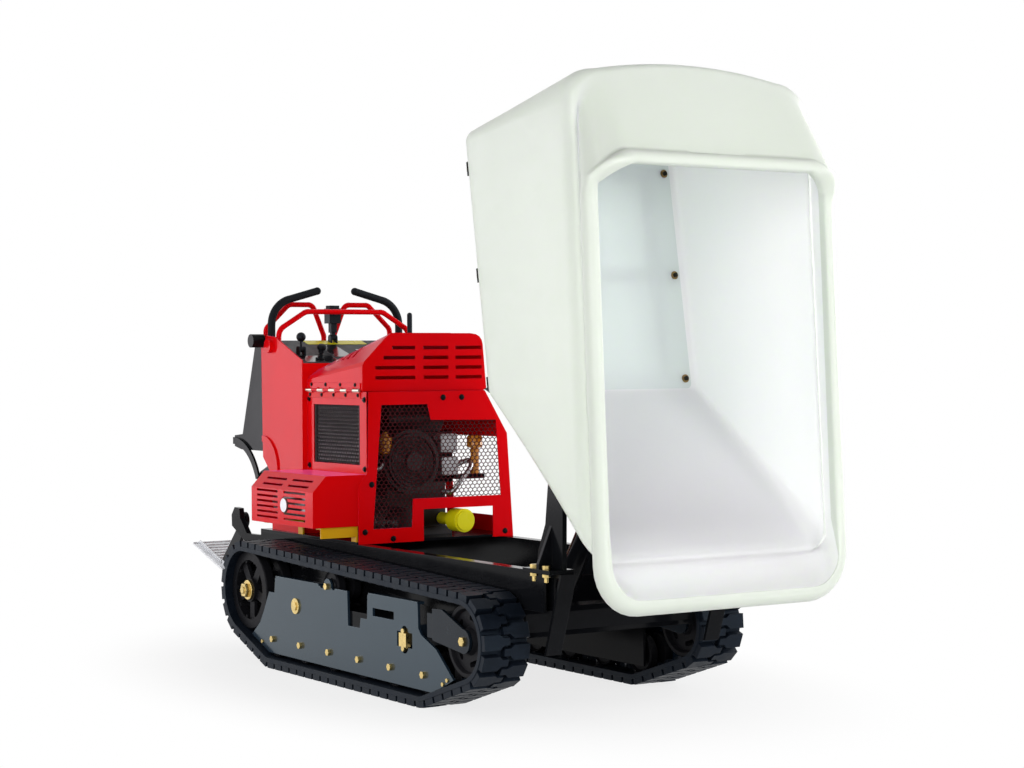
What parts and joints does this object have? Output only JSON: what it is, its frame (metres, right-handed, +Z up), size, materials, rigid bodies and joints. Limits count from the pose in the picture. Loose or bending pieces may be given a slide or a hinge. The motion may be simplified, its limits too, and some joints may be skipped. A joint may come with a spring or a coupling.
{
  "type": "tracked power carrier",
  "caption": "Stand-on tracked power carrier with a tipping poly tub in front, an engine bay behind it, hand levers, a thigh pad and a fold-up operator platform.",
  "frame": {"origin": "on the ground under the middle of the overall length and width", "axes": "+X forward towards the tub, +Y to the machine's left, +Z up from the ground"},
  "size_m": [2.7779, 0.9, 1.7892],
  "materials": {
    "black_steel": "satin",
    "red_paint": "gloss",
    "slate_paint": "satin",
    "zinc_bolt": "satin",
    "track_rubber": "matte",
    "wheel_black": "matte",
    "poly_tub": "satin",
    "bare_steel": "satin",
    "chrome_rod": "polished",
    "engine_black": "satin",
    "grip_rubber": "matte",
    "black_plastic": "matte",
    "pad_vinyl": "matte",
    "filter_paint": "gloss"
  },
  "bodies": {
    "chassis": {"main_frame": "black_steel", "front_beam": "black_steel", "pivot_stands": "black_steel", "frame_bolts": "zinc_bolt", "track_frames": "black_steel", "side_plates": "slate_paint", "plate_bolts": "zinc_bolt", "tension_arms": "slate_paint", "drive_motors": "black_steel", "track_right": "track_rubber", "track_left": "track_rubber", "engine_deck": "black_steel", "front_panel": "red_paint", "front_screen": "black_steel", "left_panel": "red_paint", "cooler_panel": "red_paint", "oil_cooler": "bare_steel", "muffler": "bare_steel", "muffler_guard": "red_paint", "guard_bracket": "zinc_bolt", "hood_hinge": "black_steel", "engine": "engine_black", "oil_filter": "filter_paint", "console": "red_paint", "control_panel": "black_plastic", "reference_bars": "red_paint", "pad_bracket": "black_steel", "thigh_pad": "pad_vinyl", "platform_bracket": "black_steel"},
    "tub": {"tub": "poly_tub", "tub_frame": "black_steel", "tub_bolts": "zinc_bolt"},
    "lift_barrel": {"cylinder_barrel": "black_steel"},
    "lift_rod": {"cylinder_rod": "chrome_rod"},
    "hood": {"hood": "red_paint"},
    "traction_lever_right": {"traction_lever_right": "grip_rubber"},
    "traction_lever_left": {"traction_lever_left": "grip_rubber"},
    "dump_lever": {"dump_lever": "black_plastic"},
    "throttle_lever": {"throttle_lever": "black_plastic"},
    "choke_knob": {"choke_knob": "black_plastic"},
    "brake_lever": {"brake_lever": "black_plastic"},
    "platform": {"platform": "bare_steel"},
    "drive_wheel_right": {"drive_wheel_right": "wheel_black"},
    "idler_right": {"idler_right": "wheel_black"},
    "road_wheel_right_1": {"road_wheel_right_1": "wheel_black"},
    "road_wheel_right_2": {"road_wheel_right_2": "wheel_black"},
    "road_wheel_right_3": {"road_wheel_right_3": "wheel_black"},
    "road_wheel_right_4": {"road_wheel_right_4": "wheel_black"},
    "road_wheel_right_5": {"road_wheel_right_5": "wheel_black"},
    "road_wheel_right_6": {"road_wheel_right_6": "wheel_black"},
    "top_roller_right": {"top_roller_right": "wheel_black"},
    "drive_wheel_left": {"drive_wheel_left": "wheel_black"},
    "idler_left": {"idler_left": "wheel_black"},
    "road_wheel_left_1": {"road_wheel_left_1": "wheel_black"},
    "road_wheel_left_2": {"road_wheel_left_2": "wheel_black"},
    "road_wheel_left_3": {"road_wheel_left_3": "wheel_black"},
    "road_wheel_left_4": {"road_wheel_left_4": "wheel_black"},
    "road_wheel_left_5": {"road_wheel_left_5": "wheel_black"},
    "road_wheel_left_6": {"road_wheel_left_6": "wheel_black"},
    "top_roller_left": {"top_roller_left": "wheel_black"}
  },
  "joints": [
    {"name": "tub_tilt", "type": "hinge", "parent": "chassis", "child": "tub", "pos_m": [0.98322, 0, 0.65272], "axis": [0, 1, 0], "range_deg": [-80.7, 0]},
    {"name": "lift_swing", "type": "hinge", "parent": "chassis", "child": "lift_barrel", "pos_m": [0.53556, 0, 0.22], "axis": [0, 1, 0], "range_deg": [-0.2, 13.2]},
    {"name": "lift_extend", "type": "slide", "parent": "lift_barrel", "child": "lift_rod", "axis": [0.5707, 0, 0.8211], "range_m": [-0.0845, 0.001]},
    {"name": "drive_right_spin", "type": "hinge", "parent": "chassis", "child": "drive_wheel_right", "pos_m": [-0.63244, -0.375, 0.235], "axis": [0, 1, 0], "continuous": true},
    {"name": "idler_right_spin", "type": "hinge", "parent": "chassis", "child": "idler_right", "pos_m": [0.74256, -0.375, 0.212], "axis": [0, 1, 0], "continuous": true},
    {"name": "road_wheel_right_1_spin", "type": "hinge", "parent": "chassis", "child": "road_wheel_right_1", "pos_m": [-0.44569, -0.375, 0.092], "axis": [0, 1, 0], "continuous": true},
    {"name": "road_wheel_right_2_spin", "type": "hinge", "parent": "chassis", "child": "road_wheel_right_2", "pos_m": [-0.25319, -0.375, 0.092], "axis": [0, 1, 0], "continuous": true},
    {"name": "road_wheel_right_3_spin", "type": "hinge", "parent": "chassis", "child": "road_wheel_right_3", "pos_m": [-0.06069, -0.375, 0.092], "axis": [0, 1, 0], "continuous": true},
    {"name": "road_wheel_right_4_spin", "type": "hinge", "parent": "chassis", "child": "road_wheel_right_4", "pos_m": [0.13181, -0.375, 0.092], "axis": [0, 1, 0], "continuous": true},
    {"name": "road_wheel_right_5_spin", "type": "hinge", "parent": "chassis", "child": "road_wheel_right_5", "pos_m": [0.32431, -0.375, 0.092], "axis": [0, 1, 0], "continuous": true},
    {"name": "road_wheel_right_6_spin", "type": "hinge", "parent": "chassis", "child": "road_wheel_right_6", "pos_m": [0.51681, -0.375, 0.092], "axis": [0, 1, 0], "continuous": true},
    {"name": "top_roller_right_spin", "type": "hinge", "parent": "chassis", "child": "top_roller_right", "pos_m": [-0.06944, -0.375, 0.29492], "axis": [0, 1, 0], "continuous": true},
    {"name": "drive_left_spin", "type": "hinge", "parent": "chassis", "child": "drive_wheel_left", "pos_m": [-0.63244, 0.375, 0.235], "axis": [0, 1, 0], "continuous": true},
    {"name": "idler_left_spin", "type": "hinge", "parent": "chassis", "child": "idler_left", "pos_m": [0.74256, 0.375, 0.212], "axis": [0, 1, 0], "continuous": true},
    {"name": "road_wheel_left_1_spin", "type": "hinge", "parent": "chassis", "child": "road_wheel_left_1", "pos_m": [-0.44569, 0.375, 0.092], "axis": [0, 1, 0], "continuous": true},
    {"name": "road_wheel_left_2_spin", "type": "hinge", "parent": "chassis", "child": "road_wheel_left_2", "pos_m": [-0.25319, 0.375, 0.092], "axis": [0, 1, 0], "continuous": true},
    {"name": "road_wheel_left_3_spin", "type": "hinge", "parent": "chassis", "child": "road_wheel_left_3", "pos_m": [-0.06069, 0.375, 0.092], "axis": [0, 1, 0], "continuous": true},
    {"name": "road_wheel_left_4_spin", "type": "hinge", "parent": "chassis", "child": "road_wheel_left_4", "pos_m": [0.13181, 0.375, 0.092], "axis": [0, 1, 0], "continuous": true},
    {"name": "road_wheel_left_5_spin", "type": "hinge", "parent": "chassis", "child": "road_wheel_left_5", "pos_m": [0.32431, 0.375, 0.092], "axis": [0, 1, 0], "continuous": true},
    {"name": "road_wheel_left_6_spin", "type": "hinge", "parent": "chassis", "child": "road_wheel_left_6", "pos_m": [0.51681, 0.375, 0.092], "axis": [0, 1, 0], "continuous": true},
    {"name": "top_roller_left_spin", "type": "hinge", "parent": "chassis", "child": "top_roller_left", "pos_m": [-0.06944, 0.375, 0.29492], "axis": [0, 1, 0], "continuous": true},
    {"name": "hood_lift", "type": "hinge", "parent": "chassis", "child": "hood", "pos_m": [-0.31444, -0.258, 0.897], "axis": [1, 0, 0], "range_deg": [0, 85]},
    {"name": "traction_right", "type": "hinge", "parent": "chassis", "child": "traction_lever_right", "pos_m": [-0.80144, -0.25, 1.056], "axis": [0, 1, 0], "range_deg": [-12, 12], "stiffness_Nm_per_rad": 12},
    {"name": "traction_left", "type": "hinge", "parent": "chassis", "child": "traction_lever_left", "pos_m": [-0.80144, 0.25, 1.056], "axis": [0, 1, 0], "range_deg": [-12, 12], "stiffness_Nm_per_rad": 12},
    {"name": "dump_control", "type": "hinge", "parent": "chassis", "child": "dump_lever", "pos_m": [-0.79044, -0.02, 1.0718], "axis": [0, 1, 0], "range_deg": [-12, 12], "stiffness_Nm_per_rad": 5},
    {"name": "throttle_control", "type": "hinge", "parent": "chassis", "child": "throttle_lever", "pos_m": [-0.65444, -0.213, 1.031], "axis": [0, 1, 0], "range_deg": [-25, 25]},
    {"name": "choke_pull", "type": "slide", "parent": "chassis", "child": "choke_knob", "axis": [0.2873, 0, 0.9578], "range_m": [0, 0.018]},
    {"name": "parking_brake", "type": "hinge", "parent": "chassis", "child": "brake_lever", "pos_m": [-0.69944, 0.236, 1.0445], "axis": [0, 1, 0], "range_deg": [0, 45]},
    {"name": "platform_fold", "type": "hinge", "parent": "chassis", "child": "platform", "pos_m": [-1.01444, 0, 0.436], "axis": [0, 1, 0], "range_deg": [0, 70]}
  ],
  "couplings": [
    {"joint": "lift_swing", "follows": "tub_tilt", "ratio": -0.161},
    {"joint": "lift_extend", "follows": "tub_tilt", "m_per_rad": 0.0588},
    {"joint": "idler_right_spin", "follows": "drive_right_spin", "ratio": 1.2381},
    {"joint": "road_wheel_right_1_spin", "follows": "drive_right_spin", "ratio": 2.1667},
    {"joint": "road_wheel_right_2_spin", "follows": "drive_right_spin", "ratio": 2.1667},
    {"joint": "road_wheel_right_3_spin", "follows": "drive_right_spin", "ratio": 2.1667},
    {"joint": "road_wheel_right_4_spin", "follows": "drive_right_spin", "ratio": 2.1667},
    {"joint": "road_wheel_right_5_spin", "follows": "drive_right_spin", "ratio": 2.1667},
    {"joint": "road_wheel_right_6_spin", "follows": "drive_right_spin", "ratio": 2.1667},
    {"joint": "top_roller_right_spin", "follows": "drive_right_spin", "ratio": 2.6},
    {"joint": "idler_left_spin", "follows": "drive_left_spin", "ratio": 1.2381},
    {"joint": "road_wheel_left_1_spin", "follows": "drive_left_spin", "ratio": 2.1667},
    {"joint": "road_wheel_left_2_spin", "follows": "drive_left_spin", "ratio": 2.1667},
    {"joint": "road_wheel_left_3_spin", "follows": "drive_left_spin", "ratio": 2.1667},
    {"joint": "road_wheel_left_4_spin", "follows": "drive_left_spin", "ratio": 2.1667},
    {"joint": "road_wheel_left_5_spin", "follows": "drive_left_spin", "ratio": 2.1667},
    {"joint": "road_wheel_left_6_spin", "follows": "drive_left_spin", "ratio": 2.1667},
    {"joint": "top_roller_left_spin", "follows": "drive_left_spin", "ratio": 2.6}
  ]
}
